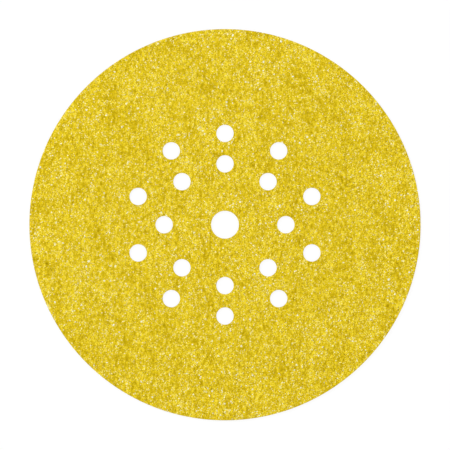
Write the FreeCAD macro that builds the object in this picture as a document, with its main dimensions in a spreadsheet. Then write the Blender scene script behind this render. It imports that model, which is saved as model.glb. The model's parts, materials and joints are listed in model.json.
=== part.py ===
import FreeCAD, Part
import Sketcher
import os

# Hook and loop sanding disc for a long-reach wall sander. Lengths are millimetres.
#
# The disc is a laminate of two sheets that are glued face to face and then die-cut
# together in one stroke, so their outlines and all their holes line up:
#   loop_backing    brushed loop cloth, which the hooks of the sander's pad grip
#   abrasive_paper  heavy paper with its bonded grain coat
#
# The origin is the centre of the disc on the lower face of the loop cloth. +Z points
# out of the abrasive face, and +Y runs through a dust hole of each ring.

SIZES = {
    # Cut outline
    "disc_diameter": 225.0,
    "centre_hole_diameter": 16.0,
    # Dust extraction holes, in two rings about the centre hole
    "dust_hole_diameter": 10.0,
    "inner_ring_radius": 35.0,
    "inner_ring_count": 8,
    "ring_step": 17.5,
    "outer_ring_count": 10,
    # Loop cloth, from the underside up: standing loops on a knitted ground
    "pile_height": 0.8,
    "ground_thickness": 0.3,
    # Abrasive paper: backing paper, then the grain coat to the tips of the grains
    "paper_thickness": 0.4,
    "coat_thickness": 0.5,
    # Every cut edge, rim and holes alike: the die crushes the grain off to a bevel
    # above, and the pile leans away from the cut below
    "coat_edge_bevel": 0.2,
    "pile_edge_bevel": 0.5,
}

# Layers of each sheet, from its lower face up: the layer and the size it is as thick as
LOOP_BACKING_LAYERS = (("loop_pile", "pile_height"), ("knitted_ground", "ground_thickness"))
ABRASIVE_PAPER_LAYERS = (("backing_paper", "paper_thickness"), ("grain_coat", "coat_thickness"))

FULL_TURN = 360.0
EDGE_HEIGHT_TOLERANCE = 1e-6

# Where a sketch counts the centre of its only circle, its own origin and its Y axis
CIRCLE_CENTRE_INDEX = (0, 3)
ORIGIN_INDEX = (-1, 1)
Y_AXIS_INDEX = (-2,)


# The sheet of driving dimensions

doc = FreeCAD.newDocument("SandingDisc")
sizes = doc.addObject("Spreadsheet::Sheet", "sizes")
for row, (alias, value) in enumerate(SIZES.items(), start=1):
    sizes.set(f"A{row}", alias)
    sizes.set(f"B{row}", str(value))
    sizes.setAlias(f"B{row}", alias)
doc.recompute()


# Sketches and features that both sheets share

def origin_feature(body, role):
    """Return the plane or axis of the body's own origin that has this role."""
    return next(feature for feature in body.Origin.OriginFeatures if feature.Role == role)


def circle_sketch(body, name, diameter, reach=None, height=None):
    """Draw a circle level with the sheet, about its centre or at a reach up the Y axis.

    diameter, reach and height are expressions in the sizes; height is the level of the
    sketch above the lower face of the sheet.
    """
    sketch = body.newObject("Sketcher::SketchObject", name)
    sketch.AttachmentSupport = [(origin_feature(body, "XY_Plane"), "")]
    sketch.MapMode = "FlatFace"
    if height:
        sketch.setExpression("AttachmentOffset.Base.z", height)
    across = sketch.evalExpression(diameter)
    outward = sketch.evalExpression(reach) if reach else 0.0
    middle, upward = FreeCAD.Vector(0, outward, 0), FreeCAD.Vector(0, 0, 1)
    circle = sketch.addGeometry(Part.Circle(middle, upward, across / 2))
    if reach:
        sketch.addConstraint(Sketcher.Constraint("PointOnObject", *CIRCLE_CENTRE_INDEX, *Y_AXIS_INDEX))
        set_out = Sketcher.Constraint("DistanceY", *ORIGIN_INDEX, *CIRCLE_CENTRE_INDEX, outward)
        sketch.setExpression(f"Constraints[{sketch.addConstraint(set_out)}]", reach)
    else:
        sketch.addConstraint(Sketcher.Constraint("Coincident", *CIRCLE_CENTRE_INDEX, *ORIGIN_INDEX))
    width = Sketcher.Constraint("Diameter", circle, across)
    sketch.setExpression(f"Constraints[{sketch.addConstraint(width)}]", diameter)
    return sketch


def stack_layers(body, layers):
    """Pad the layers of a sheet one on another, from its lower face up."""
    height = None
    for name, thickness in layers:
        layer = body.newObject("PartDesign::Pad", name)
        layer.Profile = circle_sketch(
            body, f"{name}_outline", "sizes.disc_diameter", height=height
        )
        layer.setExpression("Length", f"sizes.{thickness}")
        height = f"{height} + sizes.{thickness}" if height else f"sizes.{thickness}"


def punch_hole(body, name, diameter, reach=None):
    """Cut one round hole through the whole sheet and return the pocket."""
    pocket = body.newObject("PartDesign::Pocket", name)
    pocket.Profile = circle_sketch(body, f"{name}_outline", diameter, reach)
    pocket.Type = "ThroughAll"
    pocket.Reversed = True
    return pocket


def punch_ring(body, name, radius, count):
    """Cut a ring of dust holes, the first of them on +Y."""
    pocket = punch_hole(body, f"{name}_hole", "sizes.dust_hole_diameter", radius)
    ring = body.newObject("PartDesign::PolarPattern", name)
    ring.Originals = [pocket]
    ring.Axis = (origin_feature(body, "Z_Axis"), [""])
    ring.Angle = FULL_TURN
    ring.setExpression("Occurrences", count)
    body.Tip = ring


def bevel_cut_edges(body, name, size, height):
    """Bevel every cut edge, rim and holes alike, of the face at this height."""
    doc.recompute()
    cut = body.Tip
    edges = [
        f"Edge{number}"
        for number, edge in enumerate(cut.Shape.Edges, start=1)
        if abs(edge.BoundBox.ZMin - height) < EDGE_HEIGHT_TOLERANCE
        and abs(edge.BoundBox.ZMax - height) < EDGE_HEIGHT_TOLERANCE
    ]
    bevel = body.newObject("PartDesign::Chamfer", name)
    bevel.Base = (cut, edges)
    bevel.setExpression("Size", size)
    body.Tip = bevel


def punched_sheet(label, layers):
    """Return a round sheet of these layers, with the centre hole and both hole rings."""
    body = doc.addObject("PartDesign::Body", label)
    body.Label = label
    stack_layers(body, layers)
    punch_hole(body, f"{label}_centre_hole", "sizes.centre_hole_diameter")
    punch_ring(body, f"{label}_inner_ring", "sizes.inner_ring_radius", "sizes.inner_ring_count")
    outer_radius = "sizes.inner_ring_radius + sizes.ring_step"
    punch_ring(body, f"{label}_outer_ring", outer_radius, "sizes.outer_ring_count")
    return body


# Loop cloth: its pile leans away from every cut edge at the underside

def build_loop_backing():
    """Return the brushed loop cloth, lying on z = 0."""
    body = punched_sheet("loop_backing", LOOP_BACKING_LAYERS)
    underside = 0.0
    bevel_cut_edges(body, "pile_edges", "sizes.pile_edge_bevel", underside)
    return body


# Abrasive paper: its grain coat is bevelled at the top of every cut edge

def build_abrasive_paper():
    """Return the coated paper, lying on the cloth."""
    body = punched_sheet("abrasive_paper", ABRASIVE_PAPER_LAYERS)
    grain_face = sizes.paper_thickness + sizes.coat_thickness
    bevel_cut_edges(body, "coat_edges", "sizes.coat_edge_bevel", grain_face)
    body.setExpression("Placement.Base.z", "sizes.pile_height + sizes.ground_thickness")
    return body


# Checks and export

def check_holes(body):
    """Stop if a sheet lacks one of its holes: each hole is one cylindrical wall."""
    holes = 1 + sizes.inner_ring_count + sizes.outer_ring_count
    rim = 1
    walls = [face for face in body.Shape.Faces if isinstance(face.Surface, Part.Cylinder)]
    if len(walls) != holes + rim:
        raise RuntimeError(f"{body.Label} has {len(walls)} cut walls, not {holes + rim}")


bodies = [build_loop_backing(), build_abrasive_paper()]
doc.recompute()

for item in doc.Objects:
    if "Invalid" in item.State or "Error" in item.State:
        raise RuntimeError(f"{item.Label} did not compute: {item.State}")

for body in bodies:
    if body.Shape.isNull() or not body.Shape.isValid():
        raise RuntimeError(f"{body.Label} has no valid shape")
    check_holes(body)

os.makedirs("parts", exist_ok=True)
for body in bodies:
    body.Shape.exportStep(f"parts/{body.Label}.step")
    print(f"{body.Label}: {body.Shape.Volume:.1f} mm3, top at {body.Shape.BoundBox.ZMax:.2f} mm")
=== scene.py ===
"""Hook and loop sanding disc: the looks of its two sheets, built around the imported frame.

The disc lies loop side down on a white table and is seen from straight above. Lengths are
metres. +Z points out of the grain face and +Y is up in the picture.
"""

import json
import logging
import math
from dataclasses import dataclass, field
from enum import Enum

import bpy
import numpy as np
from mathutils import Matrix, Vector


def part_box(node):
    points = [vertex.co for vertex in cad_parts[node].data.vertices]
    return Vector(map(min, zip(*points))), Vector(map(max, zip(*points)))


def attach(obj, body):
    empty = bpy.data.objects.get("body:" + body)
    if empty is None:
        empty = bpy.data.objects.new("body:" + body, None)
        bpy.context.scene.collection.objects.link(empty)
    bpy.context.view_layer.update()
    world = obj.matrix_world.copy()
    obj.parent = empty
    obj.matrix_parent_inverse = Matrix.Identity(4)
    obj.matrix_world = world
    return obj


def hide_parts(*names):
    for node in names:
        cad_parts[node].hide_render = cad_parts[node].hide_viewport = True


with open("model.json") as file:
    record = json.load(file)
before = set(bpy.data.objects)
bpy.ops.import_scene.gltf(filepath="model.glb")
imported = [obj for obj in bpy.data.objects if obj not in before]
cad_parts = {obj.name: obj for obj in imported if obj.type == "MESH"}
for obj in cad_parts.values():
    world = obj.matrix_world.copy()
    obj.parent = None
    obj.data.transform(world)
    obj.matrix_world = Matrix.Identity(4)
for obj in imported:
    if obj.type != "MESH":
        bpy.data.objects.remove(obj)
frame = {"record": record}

MM = 0.001
BODY = "root"
BAKE_MAP = "OFBake"
WHITE = (1.0, 1.0, 1.0, 1.0)
NOISE_MIDDLE = 0.5
SMOOTH_ANGLE = math.radians(30)

Colour = tuple[float, float, float, float]
Span = tuple[float, float]
Triple = tuple[float, float, float]
Model = tuple[np.ndarray, np.ndarray]

log = logging.getLogger("sanding_disc")


class Slot(Enum):
    """The record's material slots."""

    GRAIN_COAT = "grain_coat"
    LOOP_CLOTH = "loop_cloth"


class Node(Enum):
    """The solids of the frame that the visible pieces stand for."""

    ABRASIVE_PAPER = "abrasive_paper"
    LOOP_BACKING = "loop_backing"


class Trait(Enum):
    """What each grain or loop has of its own, kept on its faces for its finish to read."""

    TONE = "tone"
    # Dust on a grain, with its painted glints and highlights.
    FROST = "frost"


@dataclass(frozen=True)
class Block:
    """Tapered block that a grain is crushed from, about a unit across."""

    sides: int
    upper_width: float
    depth: float
    chipped: bool = False


class Cleavage(Enum):
    """The blocks that the grains of the coat split into."""

    WEDGE = Block(sides=3, upper_width=0.42, depth=0.95)
    SPLINTER = Block(sides=4, upper_width=0.0, depth=1.05)
    BLOCK = Block(sides=4, upper_width=0.75, depth=0.80)
    CHIPPED_BLOCK = Block(sides=4, upper_width=0.85, depth=0.90, chipped=True)
    SLAB = Block(sides=5, upper_width=0.62, depth=0.70)


# Shader graphs


class Signal:
    """A socket of a material, which adds Math nodes when Python works on it."""

    def __init__(self, graph: "Graph", socket: bpy.types.NodeSocket) -> None:
        """Remember the socket and the graph that it belongs to."""
        self.graph = graph
        self.socket = socket

    def _math(self, operation: str, first: object, second: object) -> "Signal":
        """Add one Math node on two numbers or signals."""
        settings = {"operation": operation}
        return self.graph.node("ShaderNodeMath", settings, {0: first, 1: second})

    def __add__(self, other: object) -> "Signal":
        """Return self + other."""
        return self._math("ADD", self, other)

    def __radd__(self, other: object) -> "Signal":
        """Return other + self."""
        return self._math("ADD", other, self)

    def __sub__(self, other: object) -> "Signal":
        """Return self - other."""
        return self._math("SUBTRACT", self, other)

    def __rsub__(self, other: object) -> "Signal":
        """Return other - self."""
        return self._math("SUBTRACT", other, self)

    def __mul__(self, other: object) -> "Signal":
        """Return self * other."""
        return self._math("MULTIPLY", self, other)

    def larger(self, other: object) -> "Signal":
        """Return the larger of self and other."""
        return self._math("MAXIMUM", self, other)

    def swing(self, strength: float) -> "Signal":
        """Return a noise as a swing of this strength about 0."""
        return (self - NOISE_MIDDLE) * strength

    def above(self, level: float, width: float) -> "Signal":
        """Return a soft step from 0 to 1 as the signal passes the level."""
        settings = {"interpolation_type": "SMOOTHSTEP"}
        inputs = {"Value": self, "From Min": level - width / 2, "From Max": level + width / 2}
        return self.graph.node("ShaderNodeMapRange", settings, inputs)


class Graph:
    """The node tree of one material, world or other shaded thing."""

    def __init__(self, tree: bpy.types.NodeTree) -> None:
        """Empty the tree, ready for new nodes."""
        tree.nodes.clear()
        self.tree = tree

    def node(
        self,
        kind: str,
        settings: dict[str, object] | None = None,
        inputs: dict[int | str, object] | None = None,
        output: int | str = 0,
    ) -> Signal:
        """Add a node.

        Args:
            kind: The node's type, such as ShaderNodeMath.
            settings: Its properties, set before its sockets. "stops" fills a colour ramp.
            inputs: Values or signals for its sockets, by index or name.
            output: The socket that is handed back, by index or name.

        Returns:
            The chosen output socket, or the first input of a node that has no outputs.
        """
        made = self.tree.nodes.new(kind)
        for name, value in (settings or {}).items():
            if name == "stops":
                self._fill_ramp(made.color_ramp, value)
            else:
                setattr(made, name, value)
        for key, value in (inputs or {}).items():
            socket = made.inputs[key]
            if isinstance(value, Signal):
                self.tree.links.new(value.socket, socket)
            else:
                socket.default_value = value
        if not made.outputs:
            return Signal(self, made.inputs[0])
        return Signal(self, made.outputs[output])

    @staticmethod
    def _fill_ramp(ramp: bpy.types.ColorRamp, stops: tuple[tuple[float, Triple], ...]) -> None:
        """Give the ramp these (place, colour) stops."""
        for index, (place, colour) in enumerate(stops):
            stop = ramp.elements[index] if index < 2 else ramp.elements.new(place)
            stop.position = place
            stop.color = (*colour, 1.0)

    def place(self) -> Signal:
        """Return the point's place in the disc's own frame."""
        return self.node("ShaderNodeTexCoord", output="Object")

    def stretched(self, factors: Triple) -> Signal:
        """Return the place with each axis multiplied by a factor."""
        inputs = {"Vector": self.place(), "Scale": factors}
        return self.node("ShaderNodeMapping", {"vector_type": "POINT"}, inputs)

    def own(self, trait: Trait) -> Signal:
        """Return what the grain or loop has of its own."""
        settings = {"attribute_type": "GEOMETRY", "attribute_name": trait.value}
        return self.node("ShaderNodeAttribute", settings, output="Fac")

    def seen_directly(self) -> Signal:
        """Return 1 for camera, glossy and transmission rays, which see the backdrop itself."""
        rays = ("Is Camera Ray", "Is Glossy Ray", "Is Transmission Ray")
        camera, glossy, through = (self.node("ShaderNodeLightPath", output=ray) for ray in rays)
        return camera.larger(glossy).larger(through)

    def noise(self, where: Signal, size: float, detail: float = 2.0) -> Signal:
        """Return noise from about 0 to 1 whose spots are about this many metres wide."""
        inputs = {"Vector": where, "Scale": 1 / size, "Detail": detail}
        return self.node("ShaderNodeTexNoise", {"noise_dimensions": "3D"}, inputs)

    def mix(self, factor: object, first: object, second: object) -> Signal:
        """Return a blend of two colours."""
        settings = {"data_type": "RGBA", "blend_type": "MIX"}
        inputs = {0: factor, 6: first, 7: second}
        return self.node("ShaderNodeMix", settings, inputs, output=2)

    def bump(self, height: Signal, distance: float, strength: float = 1.0) -> Signal:
        """Return a normal that follows a height; a height of 1 stands this distance proud."""
        inputs = {"Strength": strength, "Distance": distance, "Height": height}
        return self.node("ShaderNodeBump", {}, inputs)

    def surface(self, shader: Signal, target: str = "ShaderNodeOutputMaterial") -> None:
        """Send the shader to the output."""
        self.node(target, {}, {"Surface": shader})

    def principled(self, inputs: dict[str, object]) -> None:
        """Send a Principled shader with these inputs to the output."""
        self.surface(self.node("ShaderNodeBsdfPrincipled", {}, inputs))


def new_material(name: str) -> tuple[bpy.types.Material, Graph]:
    """Return a new material and its empty graph."""
    material = bpy.data.materials.new(name)
    material.use_nodes = True
    return material, Graph(material.node_tree)


# Finishes


@dataclass(frozen=True)
class GritFinish:
    """Yellow dry-lubricated grit: lighter grains paler with dust, some facets with painted glints.

    Tone runs through the yellows from 0, darkest, to 1, lightest. Dust and glint runs from 0,
    plain, past pale yellow at a half, left by dust and weak painted glints, to white at 1, the
    painted highlight of a strong glint on a fresh crystal facet.
    """

    name: str = "yellow_grit"
    drift_size: float = 9.0 * MM
    drift_strength: float = 0.40
    clump_size: float = 1.5 * MM
    clump_strength: float = 1.17
    clump_detail: float = 3.0
    streak_stretch: float = 0.5
    dust_size: float = 2.6 * MM
    dust_strength: float = 0.15
    bare_level: float = 0.45
    dust_and_glint_from_tone: float = 0.43
    dust_and_glint_tone_ease: float = 0.5
    dust_and_glint_lift: float = 0.65
    dust_and_glint_pale: Colour = (0.95, 0.91, 0.42, 1.0)
    dust_and_glint_pale_step: float = 0.25
    fresh_facet_and_glint_white: Colour = (0.94, 1.0, 0.91, 1.0)
    fresh_facet_and_glint_step: float = 0.75
    step_ease: float = 0.5
    speck_size: float = 0.2 * MM
    speck_height: float = 0.03 * MM
    speck_strength: float = 0.7
    roughness: float = 0.6
    roughness_swing: float = 0.4
    specular: float = 0.04
    glint_level: float = 0.45
    glint_ease: float = 0.2
    glint_coat: float = 0.6
    coat_roughness: float = 0.25
    tones: tuple[tuple[float, Triple], ...] = (
        (0.0, (0.40, 0.27, 0.001)),
        (0.25, (0.62, 0.442, 0.0018)),
        (0.5, (0.845, 0.635, 0.012)),
        (0.75, (0.975, 0.783, 0.038)),
        (1.0, (1.0, 0.872, 0.11)),
    )

    def material(self) -> bpy.types.Material:
        """Return the material; it reads each grain's own tone, dust and painted glints from the
        mesh.
        """
        material, graph = new_material(self.name)
        along_web = graph.stretched((1.0, self.streak_stretch, 1.0))
        drifts = graph.noise(along_web, self.drift_size)
        clumps = graph.noise(along_web, self.clump_size, self.clump_detail)
        dusting = graph.noise(along_web, self.dust_size)
        specks = graph.noise(graph.place(), self.speck_size)
        tone = (
            graph.own(Trait.TONE)
            + drifts.swing(self.drift_strength)
            + clumps.swing(self.clump_strength)
        )
        # Painted highlights: glints lift the tone, then turn pale yellow and white; dust adds a
        # little.
        paleness = graph.own(Trait.FROST) + (dusting - self.bare_level) * self.dust_strength
        frost = paleness * tone.above(self.dust_and_glint_from_tone, self.dust_and_glint_tone_ease)
        lightened = tone + frost * self.dust_and_glint_lift
        yellow = graph.node("ShaderNodeValToRGB", {"stops": self.tones}, {0: lightened})
        dust_and_glint_pale = graph.mix(frost.above(self.dust_and_glint_pale_step, self.step_ease), yellow, self.dust_and_glint_pale)
        graph.principled(
            {
                "Base Color": graph.mix(
                    frost.above(self.fresh_facet_and_glint_step, self.step_ease), dust_and_glint_pale, self.fresh_facet_and_glint_white
                ),
                "Roughness": self.roughness + specks.swing(self.roughness_swing),
                "Specular IOR Level": self.specular,
                "Coat Weight": frost.above(self.glint_level, self.glint_ease) * self.glint_coat,
                "Coat Roughness": self.coat_roughness,
                "Normal": graph.bump(specks, self.speck_height, self.speck_strength),
            }
        )
        return material


@dataclass(frozen=True)
class ResinBedFinish:
    """The size resin between the grains: the grit's yellow, glossier, and darker as painted shade
    of the hollows.
    """

    name: str = "size_resin"
    shade_dark: Colour = (0.44, 0.32, 0.001, 1.0)
    light: Colour = (0.82, 0.63, 0.008, 1.0)
    lump_size: float = 0.6 * MM
    lump_height: float = 0.1 * MM
    roughness: float = 0.5
    roughness_swing: float = 0.3
    specular: float = 0.08

    def material(self) -> bpy.types.Material:
        """Return the material."""
        material, graph = new_material(self.name)
        lumps = graph.noise(graph.place(), self.lump_size)
        graph.principled(
            {
                # Painted shade: darker than the grit, and darkest where the lumps sink.
                "Base Color": graph.mix(lumps, self.shade_dark, self.light),
                "Roughness": self.roughness + lumps.swing(self.roughness_swing),
                "Specular IOR Level": self.specular,
                "Normal": graph.bump(lumps, self.lump_height),
            }
        )
        return material


@dataclass(frozen=True)
class PaperFinish:
    """Cut edge and back of the heavy backing paper."""

    name: str = "backing_paper"
    pale: Colour = (0.66, 0.52, 0.33, 1.0)
    dark: Colour = (0.47, 0.34, 0.19, 1.0)
    ply_size: float = 0.12 * MM
    ply_stretch: float = 0.15
    ply_share: float = 0.6
    fibre_size: float = 0.5 * MM
    fibre_detail: float = 4.0
    fibre_height: float = 0.03 * MM
    fibre_strength: float = 0.6
    roughness: float = 0.9
    roughness_swing: float = 0.1
    specular: float = 0.2

    def material(self) -> bpy.types.Material:
        """Return the material: plies run level, fibres lie along them."""
        material, graph = new_material(self.name)
        level = graph.stretched((self.ply_stretch, self.ply_stretch, 1.0))
        plies = graph.noise(level, self.ply_size)
        fibres = graph.noise(graph.place(), self.fibre_size, self.fibre_detail)
        paleness = plies * self.ply_share + fibres * (1 - self.ply_share)
        graph.principled(
            {
                "Base Color": graph.mix(paleness, self.dark, self.pale),
                "Roughness": self.roughness + fibres.swing(self.roughness_swing),
                "Specular IOR Level": self.specular,
                "Normal": graph.bump(fibres, self.fibre_height, self.fibre_strength),
            }
        )
        return material


@dataclass(frozen=True)
class KnitFinish:
    """Knitted ground of the loop cloth: wales run up the disc, courses run across."""

    name: str = "knitted_ground"
    shaded_trough: Colour = (0.55, 0.53, 0.47, 1.0)
    crest: Colour = (0.80, 0.78, 0.72, 1.0)
    wale_pitch: float = 1.1 * MM
    wale_share: float = 0.5
    course_pitch: float = 0.8 * MM
    course_share: float = 0.3
    fuzz_size: float = 0.8 * MM / 3
    fuzz_share: float = 0.2
    rib_wander: float = 1.5
    rib_height: float = 0.12 * MM
    rib_strength: float = 0.8
    roughness: float = 0.85
    roughness_swing: float = 0.15
    specular: float = 0.2
    sheen: float = 0.3

    def material(self) -> bpy.types.Material:
        """Return the material."""
        material, graph = new_material(self.name)
        wales = self._ribs(graph, "X", self.wale_pitch)
        courses = self._ribs(graph, "Y", self.course_pitch)
        fuzz = graph.noise(graph.place(), self.fuzz_size)
        relief = wales * self.wale_share + courses * self.course_share + fuzz * self.fuzz_share
        graph.principled(
            {
                # Painted shade: darker between the ribs, lighter on their crests.
                "Base Color": graph.mix(relief, self.shaded_trough, self.crest),
                "Roughness": self.roughness + fuzz.swing(self.roughness_swing),
                "Specular IOR Level": self.specular,
                "Sheen Weight": self.sheen,
                "Normal": graph.bump(relief, self.rib_height, self.rib_strength),
            }
        )
        return material

    def _ribs(self, graph: Graph, direction: str, pitch: float) -> Signal:
        """Return ribs from 0 to 1 that repeat along an axis at a pitch."""
        radians_a_metre = 20  # what a wave texture of scale 1 turns through
        settings = {"wave_type": "BANDS", "bands_direction": direction, "wave_profile": "SIN"}
        inputs = {
            "Vector": graph.place(),
            "Scale": math.tau / (radians_a_metre * pitch),
            "Distortion": self.rib_wander,
            "Detail": 1.0,
        }
        return graph.node("ShaderNodeTexWave", settings, inputs, output="Fac")


@dataclass(frozen=True)
class PileFinish:
    """Brushed nylon loops, off-white with a soft sheen, tufted finer than they are modelled."""

    name: str = "loop_pile"
    shade: Colour = (0.56, 0.54, 0.48, 1.0)
    light: Colour = (0.90, 0.88, 0.83, 1.0)
    lowering: float = 0.1
    own_share: float = 0.4
    drift_size: float = 6.0 * MM
    drift_share: float = 0.2
    tuft_gap_shade_share: float = 0.6
    tuft_size: float = 0.75 * MM
    tuft_softness: float = 0.4
    tuft_share: float = 0.75
    tuft_height: float = 0.22 * MM
    tuft_strength: float = 0.9
    fibre_size: float = 0.3 * MM
    fibre_detail: float = 4.0
    roughness: float = 0.75
    roughness_swing: float = 0.2
    specular: float = 0.25
    sheen: float = 0.4

    def material(self) -> bpy.types.Material:
        """Return the material; each loop has its own tone."""
        material, graph = new_material(self.name)
        drifts = graph.noise(graph.place(), self.drift_size)
        between_tufts = graph.node(
            "ShaderNodeTexVoronoi",
            {"feature": "SMOOTH_F1"},
            {
                "Vector": graph.place(),
                "Scale": 1 / self.tuft_size,
                "Smoothness": self.tuft_softness,
            },
        )
        fibres = graph.noise(graph.place(), self.fibre_size, self.fibre_detail)
        relief = (1.0 - between_tufts) * self.tuft_share + fibres * (1 - self.tuft_share)
        # Painted shade: darker in the gaps between the tufts; the fibres' mottle is their own.
        lightness = (
            graph.own(Trait.TONE) * self.own_share
            + drifts * self.drift_share
            + relief * self.tuft_gap_shade_share
            - self.lowering
        )
        graph.principled(
            {
                "Base Color": graph.mix(lightness, self.shade, self.light),
                "Roughness": self.roughness + fibres.swing(self.roughness_swing),
                "Specular IOR Level": self.specular,
                "Sheen Weight": self.sheen,
                "Normal": graph.bump(relief, self.tuft_height, self.tuft_strength),
            }
        )
        return material


@dataclass(frozen=True)
class TableFinish:
    """White table top that keeps the disc's soft shadow."""

    name: str = "white_table"
    paint: Colour = (0.85, 0.85, 0.85, 1.0)
    lift: float = 0.88
    white: float = 1.03

    def material(self) -> bpy.types.Material:
        """Return the material: seen directly it is lifted to the white of the backdrop."""
        material, graph = new_material(self.name)
        lift = graph.seen_directly() * self.lift
        plain = graph.node("ShaderNodeBsdfDiffuse", {}, {"Color": self.paint})
        glow = graph.node("ShaderNodeEmission", {}, {"Color": WHITE, "Strength": self.white})
        graph.surface(graph.node("ShaderNodeMixShader", {}, {0: lift, 1: plain, 2: glow}))
        return material


# The die's pattern


@dataclass(frozen=True)
class PunchPattern:
    """Cut outline of the disc: its rim, and every hole as (centre x, centre y, radius)."""

    rim_radius: float
    holes: tuple[Triple, ...]

    @classmethod
    def from_frame(cls) -> "PunchPattern":
        """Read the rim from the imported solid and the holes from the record's mounts."""
        first_hole = 0.25  # of a turn from +X, which is straight up in the picture
        mounts = {mount["name"]: mount for mount in frame["record"]["mounts"]}
        _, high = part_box(Node.ABRASIVE_PAPER.value)
        holes = [(0.0, 0.0, mounts["centre_hole"]["dims"]["r_mm"] * MM)]
        for name in ("inner_ring", "outer_ring"):
            dims = mounts[name]["dims"]
            reach, radius = dims["pcd_mm"] * MM / 2, dims["hole_r_mm"] * MM
            for index in range(dims["count"]):
                turn = math.tau * (first_hole + index / dims["count"])
                holes.append((reach * math.cos(turn), reach * math.sin(turn), radius))
        return cls(rim_radius=high.x, holes=tuple(holes))

    def room(self, x: np.ndarray, y: np.ndarray) -> np.ndarray:
        """Return how far each point lies inside the nearest cut edge, negative outside."""
        room = self.rim_radius - np.hypot(x, y)
        for centre_x, centre_y, radius in self.holes:
            room = np.minimum(room, np.hypot(x - centre_x, y - centre_y) - radius)
        return room

    def trim(self, points: np.ndarray) -> None:
        """Move the points that reach past a cut edge back to the cut, in place."""
        least = 0.01  # share of a hole's radius that keeps its very centre from dividing by zero
        reach = np.hypot(points[:, 0], points[:, 1])
        back = np.minimum(1.0, self.rim_radius / np.maximum(reach, MM))
        points[:, :2] *= back[:, None]
        for centre_x, centre_y, radius in self.holes:
            centre = np.array([centre_x, centre_y])
            away = points[:, :2] - centre
            reach = np.hypot(away[:, 0], away[:, 1])
            inside = reach < radius
            out = radius / np.maximum(reach[inside], radius * least)
            points[inside, :2] = centre + away[inside] * out[:, None]


# Modelling


def deselect() -> None:
    """Leave nothing selected, so that an operator acts on the new piece alone."""
    if bpy.context.object and bpy.context.object.mode != "OBJECT":
        bpy.ops.object.mode_set(mode="OBJECT")
    bpy.ops.object.select_all(action="DESELECT")


def apply_modifier(piece: bpy.types.Object, kind: str, **settings: object) -> None:
    """Add one modifier to the piece and apply it."""
    deselect()
    bpy.context.view_layer.objects.active = piece
    modifier = piece.modifiers.new(kind.lower(), kind)
    for name, value in settings.items():
        setattr(modifier, name, value)
    bpy.ops.object.modifier_apply(modifier=modifier.name)


def mesh_arrays(piece: bpy.types.Object) -> Model:
    """Return the points and the triangles of a piece."""
    mesh = piece.data
    mesh.calc_loop_triangles()
    points = np.empty(len(mesh.vertices) * 3)
    mesh.vertices.foreach_get("co", points)
    triangles = np.empty(len(mesh.loop_triangles) * 3, dtype=np.int32)
    mesh.loop_triangles.foreach_get("vertices", triangles)
    return points.reshape(-1, 3), triangles.reshape(-1, 3)


def piece_from_arrays(
    name: str, points: np.ndarray, triangles: np.ndarray, traits: dict[Trait, np.ndarray]
) -> bpy.types.Object:
    """Make a piece of loose triangles.

    Args:
        name: The piece's name.
        points: Its corners, in metres.
        triangles: Three corner indices for each triangle.
        traits: A value of each trait for each triangle.

    Returns:
        The new object, with a level map for its colours.
    """
    mesh = bpy.data.meshes.new(name)
    mesh.vertices.add(len(points))
    mesh.vertices.foreach_set("co", points.ravel())
    mesh.loops.add(triangles.size)
    mesh.loops.foreach_set("vertex_index", triangles.ravel().astype(np.int32))
    mesh.polygons.add(len(triangles))
    mesh.polygons.foreach_set("loop_start", np.arange(0, triangles.size, 3, dtype=np.int32))
    mesh.update(calc_edges=True)
    for trait, values in traits.items():
        attribute = mesh.attributes.new(trait.value, "FLOAT", "FACE")
        attribute.data.foreach_set("value", values.astype(np.float32))
    lay_level_map(mesh, points, triangles)
    piece = bpy.data.objects.new(name, mesh)
    bpy.context.scene.collection.objects.link(piece)
    return piece


def lay_level_map(mesh: bpy.types.Mesh, points: np.ndarray, triangles: np.ndarray) -> None:
    """Map the mesh from above, leaned over a little so that upright faces have width too."""
    lean = np.array([0.45, 0.3])
    flat = points[:, :2] + points[:, 2:3] * lean
    low, high = flat.min(axis=0), flat.max(axis=0)
    flat = (flat - low) / (high - low).max()
    layer = mesh.uv_layers.new(name=BAKE_MAP)
    layer.uv.foreach_set("vector", flat[triangles.ravel()].astype(np.float32).ravel())


def upwardness(points: np.ndarray, triangles: np.ndarray) -> np.ndarray:
    """Return how far each triangle faces up, from -1 to 1."""
    least = MM**3  # length of a normal under which a triangle counts as upright
    corners = points[triangles]
    normals = np.cross(corners[:, 1] - corners[:, 0], corners[:, 2] - corners[:, 0])
    return normals[:, 2] / np.maximum(np.linalg.norm(normals, axis=1), least)


def turns(yaw: np.ndarray, tilt: np.ndarray, heading: np.ndarray) -> np.ndarray:
    """Return rotation matrices: a yaw about Z, then a tilt about a level axis.

    Args:
        yaw: Turn about Z before the tilt, in radians.
        tilt: How far each is tipped over, in radians.
        heading: Direction of the level axis that it tips about, in radians.

    Returns:
        One 3 by 3 matrix for each entry.
    """
    zero, one = np.zeros_like(yaw), np.ones_like(yaw)

    def about_z(angle: np.ndarray) -> np.ndarray:
        """Return rotations about Z."""
        c, s = np.cos(angle), np.sin(angle)
        rows = [[c, -s, zero], [s, c, zero], [zero, zero, one]]
        return np.moveaxis(np.array(rows), 2, 0)

    c, s = np.cos(tilt), np.sin(tilt)
    about_x = np.moveaxis(np.array([[one, zero, zero], [zero, c, -s], [zero, s, c]]), 2, 0)
    return about_z(heading) @ about_x @ about_z(-heading) @ about_z(yaw)


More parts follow.
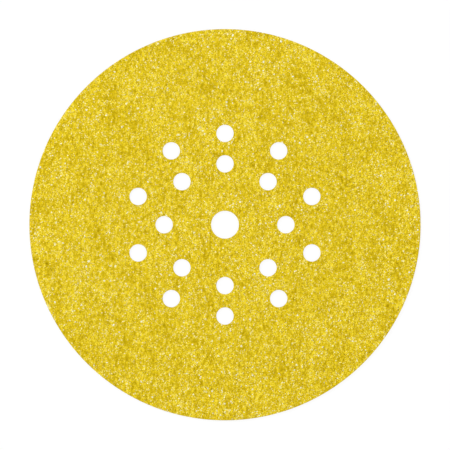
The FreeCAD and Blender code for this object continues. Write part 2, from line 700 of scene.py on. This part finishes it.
def lay_copies(
    models: list[Model], picks: np.ndarray, matrices: np.ndarray, places: np.ndarray
) -> tuple[np.ndarray, np.ndarray, np.ndarray]:
    """Copy small models to many places in one mesh.

    Args:
        models: Points and triangles of each model.
        picks: Which model each copy takes.
        matrices: Turn and scale of each copy.
        places: Where the origin of each copy goes.

    Returns:
        The points, the triangles and the number of the copy that each triangle is of.
    """
    all_points, all_triangles, owners = [], [], []
    start = 0
    for index, (points, triangles) in enumerate(models):
        copies = np.flatnonzero(picks == index)
        placed = np.einsum("nij,pj->npi", matrices[copies], points) + places[copies, None]
        offsets = start + np.arange(len(copies)) * len(points)
        all_points.append(placed.reshape(-1, 3))
        all_triangles.append((triangles[None] + offsets[:, None, None]).reshape(-1, 3))
        owners.append(np.repeat(copies, len(triangles)))
        start += placed.shape[0] * placed.shape[1]
    return np.concatenate(all_points), np.concatenate(all_triangles), np.concatenate(owners)


def punched_plate(name: str, pattern: PunchPattern, low: float, high: float) -> bpy.types.Object:
    """Model a flat round sheet and punch the die's holes in it.

    Args:
        name: The piece's name.
        pattern: The cut outline.
        low: Level of the lower face.
        high: Level of the upper face.

    Returns:
        The sheet, with its place in its mesh.
    """
    rim_sides, hole_sides, overrun = 360, 64, 1.0 * MM
    middle, depth = (low + high) / 2, high - low
    deselect()
    bpy.ops.mesh.primitive_cylinder_add(
        vertices=rim_sides, radius=pattern.rim_radius, depth=depth, location=(0, 0, middle)
    )
    plate = bpy.context.object
    plate.name = plate.data.name = name
    punches = []
    for centre_x, centre_y, radius in pattern.holes:
        bpy.ops.mesh.primitive_cylinder_add(
            vertices=hole_sides,
            radius=radius,
            depth=depth + 2 * overrun,
            location=(centre_x, centre_y, middle),
        )
        punches.append(bpy.context.object)
    die = join(punches)
    apply_modifier(plate, "BOOLEAN", operation="DIFFERENCE", solver="EXACT", object=die)
    bpy.data.objects.remove(die)
    apply_modifier(plate, "TRIANGULATE")
    settle(plate)
    return plate


def join(parts: list[bpy.types.Object]) -> bpy.types.Object:
    """Join the parts into the first one."""
    deselect()
    for part in parts:
        part.select_set(True)
    bpy.context.view_layer.objects.active = parts[0]
    bpy.ops.object.join()
    return parts[0]


def settle(piece: bpy.types.Object) -> None:
    """Move the object's place into its mesh and smooth its round walls."""
    deselect()
    piece.select_set(True)
    bpy.context.view_layer.objects.active = piece
    bpy.ops.object.transform_apply(location=True, rotation=True, scale=True)
    bpy.ops.object.shade_smooth_by_angle(angle=SMOOTH_ANGLE)


def stand_for(piece: bpy.types.Object, node: Node) -> None:
    """Make the piece ride with the disc in place of its solid."""
    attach(piece, BODY)
    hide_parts(node.value)


# The two sheets


@dataclass
class AbrasivePaper:
    """Backing paper with a bed of resin and the grains that stand in it."""

    pattern: PunchPattern
    bed_height: float = 0.07 * MM
    coat_height: float = 0.5 * MM
    edge_bevel: float = 0.2 * MM
    pitch: float = 0.72 * MM
    jitter: float = 0.45
    parity: int = 2
    crystal_radius: float = 0.6
    crystal_skew: float = 0.17
    skews: int = 3
    chip_towards: Triple = (0.9, 0.3, 0.8)
    chip_reach: float = 0.36
    grain_width: float = 0.96 * MM
    grain_spread: float = 0.22
    slimmest: Triple = (0.75, 0.75, 0.9)
    stoutest: Triple = (1.15, 1.15, 1.35)
    tilt: float = 0.5
    sunk: Span = (-0.25, 0.05)
    tip_easing: float = 1.35
    steepest_overhang: float = -0.6
    smallest_rise: float = 0.02 * MM
    tone: float = 0.492
    tone_spread: float = 0.05
    facet_spread: float = 0.025
    dusting: float = 0.08
    # Painted glints: which facets and whole grains are painted pale to white as highlights.
    painted_glint_share: float = 0.152
    painted_glint_floor: float = 0.25
    painted_glint_range: float = 1.05
    painted_glint_rarity: float = 2.4
    painted_glint_grain_share: float = 0.012
    # Only facets facing up this far take dust and painted glints, where the lamps above light
    # them.
    upward_glint_slope: float = 0.45
    upward_glint_ease: float = 0.4
    seed: int = 7
    grit: GritFinish = field(default_factory=GritFinish)
    resin: ResinBedFinish = field(default_factory=ResinBedFinish)
    paper: PaperFinish = field(default_factory=PaperFinish)

    def __post_init__(self) -> None:
        """Read the sheet's levels from the frame."""
        low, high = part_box(Node.ABRASIVE_PAPER.value)
        self.underside, self.grain_tips = low.z, high.z
        self.paper_top = self.grain_tips - self.coat_height
        self.bed_top = self.paper_top + self.bed_height

    def build(self) -> list[bpy.types.Object]:
        """Build the paper, its resin bed and the grains.

        Returns:
            The pieces.
        """
        paper = punched_plate("backing_paper", self.pattern, self.underside, self.paper_top)
        paper.data.materials.append(self.paper.material())
        bed = punched_plate("resin_bed", self.pattern, self.paper_top, self.bed_top)
        bed.data.materials.append(self.resin.material())
        pieces = [paper, bed, *self._lay_grains()]
        for piece in pieces:
            stand_for(piece, Node.ABRASIVE_PAPER)
        return pieces

    def _model_crystal(self, block: Block, seed: int) -> Model:
        """Model one crushed grain, about a unit across.

        Args:
            block: The block that it starts from.
            seed: Number of its random skew.

        Returns:
            Its points and triangles.
        """
        deselect()
        bpy.ops.mesh.primitive_cone_add(
            vertices=block.sides,
            radius1=self.crystal_radius,
            radius2=self.crystal_radius * block.upper_width,
            depth=block.depth,
        )
        crystal = bpy.context.object
        bpy.ops.object.mode_set(mode="EDIT")
        bpy.ops.mesh.select_all(action="SELECT")
        bpy.ops.transform.vertex_random(offset=self.crystal_skew, seed=seed)
        if block.chipped:
            corner = Vector(self.chip_towards).normalized()
            bpy.ops.mesh.bisect(
                plane_co=corner * self.chip_reach, plane_no=corner, use_fill=True, clear_outer=True
            )
            bpy.ops.mesh.select_all(action="SELECT")
        bpy.ops.mesh.convex_hull()
        bpy.ops.mesh.quads_convert_to_tris()
        bpy.ops.object.mode_set(mode="OBJECT")
        model = mesh_arrays(crystal)
        bpy.data.objects.remove(crystal)
        return model

    def _lay_grains(self) -> list[bpy.types.Object]:
        """Lay the grains in passes of every other column and row, so that no neighbours share one.

        Returns:
            One piece for each pass.
        """
        draw = np.random.default_rng(self.seed)
        models = [
            self._model_crystal(cleavage.value, seed)
            for seed in range(self.skews)
            for cleavage in Cleavage
        ]
        grit = self.grit.material()
        half = int(self.pattern.rim_radius / self.pitch) + 1
        steps = np.arange(-half, half + 1)
        column, row = (grid.ravel() for grid in np.meshgrid(steps, steps))
        shift = draw.uniform(-self.jitter, self.jitter, (2, column.size))
        half_a_pitch = 0.5 * (row % 2)
        x = (column + half_a_pitch + shift[0]) * self.pitch
        y = (row + shift[1]) * self.pitch
        keep = self.pattern.room(x, y) > 0
        column, row, x, y = (values[keep] for values in (column, row, x, y))
        batch = column % self.parity + self.parity * (row % self.parity)
        passes = []
        for number in range(self.parity**2):
            mine = batch == number
            name = f"grain_pass_{number + 1}"
            passes.append(self._grain_pass(name, models, x[mine], y[mine], draw))
            passes[-1].data.materials.append(grit)
        return passes

    def _grain_pass(
        self,
        name: str,
        models: list[Model],
        x: np.ndarray,
        y: np.ndarray,
        draw: np.random.Generator,
    ) -> bpy.types.Object:
        """Lay one pass of grains.

        Args:
            name: The piece's name.
            models: The crystals to pick from.
            x: Places across.
            y: Places up.
            draw: Source of the random draws.

        Returns:
            The pass, as one piece.
        """
        count = len(x)
        width = self.grain_width * np.exp(draw.normal(0, self.grain_spread, count))
        shape = draw.uniform(self.slimmest, self.stoutest, (count, 3)) * width[:, None]
        turned = turns(
            draw.uniform(0, math.tau, count),
            np.abs(draw.normal(0, self.tilt, count)),
            draw.uniform(0, math.tau, count),
        )
        matrices = turned * shape[:, None, :]
        middle = self.bed_top + draw.uniform(*self.sunk, count) * width
        places = np.stack([x, y, middle], axis=1)
        picks = draw.integers(0, len(models), count)
        points, triangles, owners = lay_copies(models, picks, matrices, places)
        self.pattern.trim(points)
        self._level_tips(points)
        shows = self._shows(points, triangles)
        owners, triangles = owners[shows], triangles[shows]
        tones = draw.normal(self.tone, self.tone_spread, count)[owners]
        # Dust settles on the facets that face up, and the painted glints go where the lamps above
        # light them.
        slope = (upwardness(points, triangles) - self.upward_glint_slope) / self.upward_glint_ease
        frost = self._dust_and_glint(owners, count, draw) * np.clip(slope, 0, 1)
        tones += draw.normal(0, self.facet_spread, len(owners))
        traits = {Trait.TONE: tones, Trait.FROST: frost}
        return piece_from_arrays(name, points, triangles, traits)

    def _level_tips(self, points: np.ndarray) -> None:
        """Ease the grains down under the level of the tips, and under the bevel at a cut."""
        room = self.pattern.room(points[:, 0], points[:, 1])
        bevel = self.edge_bevel - np.clip(room, 0, self.edge_bevel)
        headroom = self.grain_tips - bevel - self.bed_top
        rise = points[:, 2] - self.bed_top
        eased = headroom * np.tanh(self.tip_easing * rise / headroom)
        points[:, 2] = self.bed_top + np.where(rise > 0, eased, rise)
        np.maximum(points[:, 2], self.paper_top, out=points[:, 2])

    def _shows(self, points: np.ndarray, triangles: np.ndarray) -> np.ndarray:
        """Return which faces show: those that rise from the resin and don't face down."""
        highest = points[triangles, 2].max(axis=1)
        rises = highest > self.bed_top + self.smallest_rise
        return rises & (upwardness(points, triangles) > self.steepest_overhang)

    def _dust_and_glint(self, owners: np.ndarray, count: int, draw: np.random.Generator) -> np.ndarray:
        """Return how pale each facet is: a little by dust, more on a painted glint, and all over a
        grain painted as one bright glint.

        Args:
            owners: The grain that each facet is of.
            count: How many grains there are.
            draw: Source of the random draws.

        Returns:
            One value for each facet, from 0, plain, to 1 or more, white.
        """
        frost = draw.uniform(0, self.dusting, count)[owners]
        # Painted highlights: some facets get a painted glint, partly the white of freshly broken
        # crystal.
        painted_glints = draw.random(len(owners)) < self.painted_glint_share
        strength = draw.random(painted_glints.sum()) ** self.painted_glint_rarity
        frost[painted_glints] = self.painted_glint_floor + self.painted_glint_range * strength
        # Painted highlights: a few whole grains are painted white, each as one bright glint.
        painted_glint_grains = draw.random(count) < self.painted_glint_grain_share
        frost[painted_glint_grains[owners]] = 1.0
        return frost


@dataclass
class LoopCloth:
    """Knitted cloth glued to the back of the paper, with brushed loops for the hooks."""

    pattern: PunchPattern
    ground_thickness: float = 0.3 * MM
    nap_depth: float = 0.44 * MM
    nap_swell: float = 0.16 * MM
    nap_wander: float = 0.5
    nap_unevenness: float = 0.6
    nap_shade_tone: float = 0.35
    nap_cell: float = 1.05 * MM
    edge_bevel: float = 0.5 * MM
    wale_pitch: float = 1.3 * MM
    course_pitch: float = 1.35 * MM
    loop_sides: int = 10
    loop_radius: float = 0.5 * MM
    loop_scale: Span = (0.75, 1.2)
    loop_scatter: float = 0.2
    loop_yaw: float = 0.7
    loop_tilt: float = 0.45
    loop_tones: Span = (0.5, 1.5)
    loop_foot: float = 0.3 * MM
    loop_margin: float = 0.7 * MM
    yarn_width: float = 0.2 * MM
    seed: int = 11
    knit: KnitFinish = field(default_factory=KnitFinish)
    pile: PileFinish = field(default_factory=PileFinish)

    def __post_init__(self) -> None:
        """Read the cloth's levels from the frame."""
        low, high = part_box(Node.LOOP_BACKING.value)
        self.pile_tips, self.glue_face = low.z, high.z
        self.ground_low = self.glue_face - self.ground_thickness

    def build(self) -> list[bpy.types.Object]:
        """Build the knitted ground, the nap of brushed fibres on it and the loops.

        Returns:
            The pieces.
        """
        draw = np.random.default_rng(self.seed)
        ground = punched_plate("knitted_ground", self.pattern, self.ground_low, self.glue_face)
        ground.data.materials.append(self.knit.material())
        pile = [self._brush_nap(draw), *self._stand_loops(draw)]
        finish = self.pile.material()
        for piece in pile:
            piece.data.materials.append(finish)
        for piece in (ground, *pile):
            stand_for(piece, Node.LOOP_BACKING)
        return [ground, *pile]

    def _brush_nap(self, draw: np.random.Generator) -> bpy.types.Object:
        """Model the nap, the felted mass of brushed fibres that the loops stand in.

        Args:
            draw: Source of the random draws.

        Returns:
            The nap: soft wales below, which round off at every cut up to the ground.
        """
        cells = int(2 * (self.pattern.rim_radius + self.nap_cell) / self.nap_cell)
        deselect()
        bpy.ops.mesh.primitive_grid_add(
            x_subdivisions=cells, y_subdivisions=cells, size=cells * self.nap_cell
        )
        grid = bpy.context.object
        points, triangles = mesh_arrays(grid)
        bpy.data.objects.remove(grid)
        room = self.pattern.room(points[:, 0], points[:, 1])
        triangles = triangles[(room[triangles] > 0).any(axis=1)]
        self.pattern.trim(points)
        room = np.clip(self.pattern.room(points[:, 0], points[:, 1]) / self.edge_bevel, 0, 1)
        rounding = np.sqrt(1 - (1 - room) ** 2)
        wander = draw.normal(0, self.nap_wander, len(points))
        swell = np.cos(math.tau * points[:, 0] / (2 * self.wale_pitch) + wander)
        swell += draw.normal(0, self.nap_unevenness, len(points))
        depth = self.nap_depth + self.nap_swell * swell
        points[:, 2] = np.maximum(self.ground_low - depth * rounding, self.pile_tips)
        # Painted shade: the nap is toned darker than the loops hanging in front of it.
        tones = draw.uniform(0, 2 * self.nap_shade_tone, len(triangles))
        return piece_from_arrays("brushed_nap", points, triangles[:, ::-1], {Trait.TONE: tones})

    def _model_loop(self) -> Model:
        """Model one loop: half a ring of flattened yarn, hanging below its two feet."""
        deselect()
        bpy.ops.mesh.primitive_cylinder_add(
            vertices=self.loop_sides,
            radius=self.loop_radius,
            depth=self.yarn_width,
            end_fill_type="NOTHING",
            rotation=(math.pi / 2, 0, 0),
        )
        ring = bpy.context.object
        bpy.ops.object.transform_apply(location=True, rotation=True, scale=True)
        bpy.ops.object.mode_set(mode="EDIT")
        bpy.ops.mesh.select_all(action="SELECT")
        bpy.ops.mesh.bisect(plane_co=(0, 0, 0), plane_no=(0, 0, 1), clear_outer=True)
        bpy.ops.mesh.select_all(action="SELECT")
        bpy.ops.mesh.quads_convert_to_tris()
        bpy.ops.object.mode_set(mode="OBJECT")
        model = mesh_arrays(ring)
        bpy.data.objects.remove(ring)
        return model

    def _stand_loops(self, draw: np.random.Generator) -> list[bpy.types.Object]:
        """Stand the loops along the wales, in two pieces, each leaning its own way.

        Args:
            draw: Source of the random draws.

        Returns:
            The pieces.
        """
        model = self._model_loop()
        half = int(self.pattern.rim_radius / min(self.wale_pitch, self.course_pitch)) + 1
        steps = np.arange(-half, half + 1)
        column, row = (grid.ravel() for grid in np.meshgrid(steps, steps))
        shift = draw.normal(0, self.loop_scatter, (2, column.size))
        x = (column + shift[0]) * self.wale_pitch
        y = (row + 0.5 * (column % 2) + shift[1]) * self.course_pitch
        keep = self.pattern.room(x, y) > self.loop_margin
        x, y, column = x[keep], y[keep], column[keep]
        return [
            self._loop_wales(f"loop_wales_{side + 1}", model, x[mine], y[mine], draw)
            for side, mine in enumerate((column % 2 == 0, column % 2 == 1))
        ]

    def _loop_wales(
        self,
        name: str,
        model: Model,
        x: np.ndarray,
        y: np.ndarray,
        draw: np.random.Generator,
    ) -> bpy.types.Object:
        """Stand the loops of every other wale.

        Args:
            name: The piece's name.
            model: The loop.
            x: Places across.
            y: Places up.
            draw: Source of the random draws.

        Returns:
            The loops, as one piece.
        """
        count = len(x)
        turned = turns(
            draw.normal(0, self.loop_yaw, count),
            np.abs(draw.normal(0, self.loop_tilt, count)),
            draw.uniform(0, math.tau, count),
        )
        matrices = turned * draw.uniform(*self.loop_scale, count)[:, None, None]
        places = np.stack([x, y, np.full(count, self.ground_low - self.loop_foot)], axis=1)
        picks = np.zeros(count, dtype=int)
        points, triangles, owners = lay_copies([model], picks, matrices, places)
        self.pattern.trim(points)
        points[:, 2] = np.clip(points[:, 2], self.pile_tips, self.ground_low)
        tones = draw.uniform(*self.loop_tones, count)[owners]
        return piece_from_arrays(name, points, triangles, {Trait.TONE: tones})


# Table, light and camera


@dataclass(frozen=True)
class Lamp:
    """One square lamp that faces the disc: its side in metres and its power in watts."""

    name: str
    place: Triple
    side: float
    power: float

    def hang(self) -> None:
        """Hang the lamp in its place."""
        data = bpy.data.lights.new(self.name, "AREA")
        data.size = self.side
        data.energy = self.power
        lamp = bpy.data.objects.new(self.name, data)
        lamp.location = self.place
        lamp.rotation_euler = Vector(self.place).to_track_quat("Z", "Y").to_euler()
        bpy.context.scene.collection.objects.link(lamp)


@dataclass
class Studio:
    """White table, soft light from above and a camera that looks straight down."""

    disc_width: float
    disc_pixels: float = 391.3
    picture_pixels: float = 450.0
    drop_in_picture: float = 0.17 * MM
    camera_height: float = 1.0
    table_size: float = 12.0
    world_level: float = 0.66
    lamps: tuple[Lamp, ...] = (
        Lamp("key_light", (-1.5, 1.2, 1.9), side=0.9, power=32.0),
        Lamp("fill_light", (1.7, -1.2, 2.2), side=1.8, power=10.0),
    )
    finish: TableFinish = field(default_factory=TableFinish)

    def build(self) -> list[bpy.types.Object]:
        """Set up everything that isn't the disc.

        Returns:
            The table, the only piece of it.
        """
        table = self._table()
        self._backdrop()
        for lamp in self.lamps:
            lamp.hang()
        self._camera()
        return [table]

    def _table(self) -> bpy.types.Object:
        """Lay the table under the disc."""
        deselect()
        bpy.ops.mesh.primitive_plane_add(size=self.table_size)
        table = bpy.context.object
        table.name = "table"
        table.data.materials.append(self.finish.material())
        return table

    def _backdrop(self) -> None:
        """Surround the table with white that lights the disc at a plain level."""
        world = bpy.data.worlds.new("backdrop")
        bpy.context.scene.world = world
        world.use_nodes = True
        graph = Graph(world.node_tree)
        level = self.world_level + graph.seen_directly() * (1.0 - self.world_level)
        shader = graph.node("ShaderNodeBackground", {}, {"Color": WHITE, "Strength": level})
        graph.surface(shader, "ShaderNodeOutputWorld")

    def _camera(self) -> None:
        """Look straight down, with the disc as wide and as high up as in the picture."""
        data = bpy.data.cameras.new("camera")
        data.type = "ORTHO"
        data.ortho_scale = self.disc_width / (self.disc_pixels / self.picture_pixels)
        camera = bpy.data.objects.new("camera", data)
        camera.location = (0, -self.drop_in_picture, self.camera_height)
        bpy.context.scene.collection.objects.link(camera)
        bpy.context.scene.camera = camera


def main() -> None:
    """Build the disc and its surroundings and log each piece."""
    logging.basicConfig(level=logging.INFO, format="%(name)s: %(message)s")
    bpy.context.scene.view_settings.view_transform = "Standard"
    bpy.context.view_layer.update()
    pattern = PunchPattern.from_frame()
    studio = Studio(disc_width=2 * pattern.rim_radius)
    for part in (LoopCloth(pattern), AbrasivePaper(pattern), studio):
        for piece in part.build():
            log.info("%s: %d faces", piece.name, len(piece.data.polygons))


if __name__ == "__main__":
    main()
